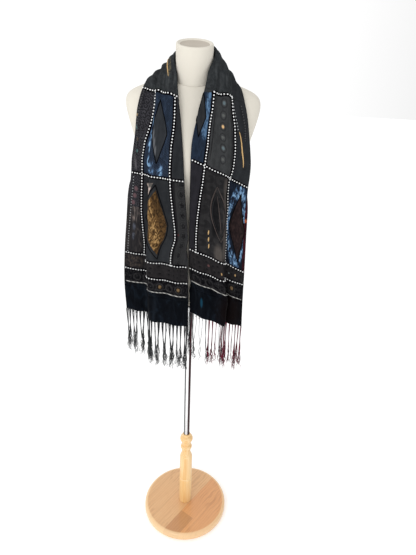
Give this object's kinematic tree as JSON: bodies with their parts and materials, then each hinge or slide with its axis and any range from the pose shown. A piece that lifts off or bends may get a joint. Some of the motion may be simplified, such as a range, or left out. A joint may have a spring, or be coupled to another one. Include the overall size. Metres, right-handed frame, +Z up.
{
  "type": "scarf",
  "caption": "Long beaded patchwork scarf with knotted fringe, hung round the neck of a plain dress form on a turned wooden stand.",
  "frame": {"origin": "on the floor under the stand, at the centre of the base's underside", "axes": "+Z up, the wearer's front faces -Y, and +X is the viewer's right"},
  "size_m": [0.3864, 0.326, 1.6983],
  "materials": {
    "light_wood": "light butcher-block timber, satin varnish",
    "pine": "golden pine, satin varnish",
    "chrome": "polished tube",
    "dark_plastic": "moulded, fine texture",
    "cream_fabric": "plain ivory jersey over a padded form",
    "black_velvet": "plain pile velvet",
    "charcoal_cloth": "patchwork of matt weave and patterned velvet",
    "black_fringe": "twisted yarn, knotted and curled tips",
    "wine_fringe": "twisted yarn in wine red and black"
  },
  "bodies": {
    "root": {"stand_base": "light_wood", "stand_column": "pine", "stand_pole": "chrome", "form_socket": "dark_plastic", "form_torso": "cream_fabric", "form_neck": "cream_fabric", "left_end_band": "black_velvet", "scarf_left": "charcoal_cloth", "scarf_neck": "charcoal_cloth", "scarf_right": "charcoal_cloth", "right_end_band": "black_velvet", "left_fringe": "black_fringe", "right_fringe": "wine_fringe"}
  },
  "joints": []
}
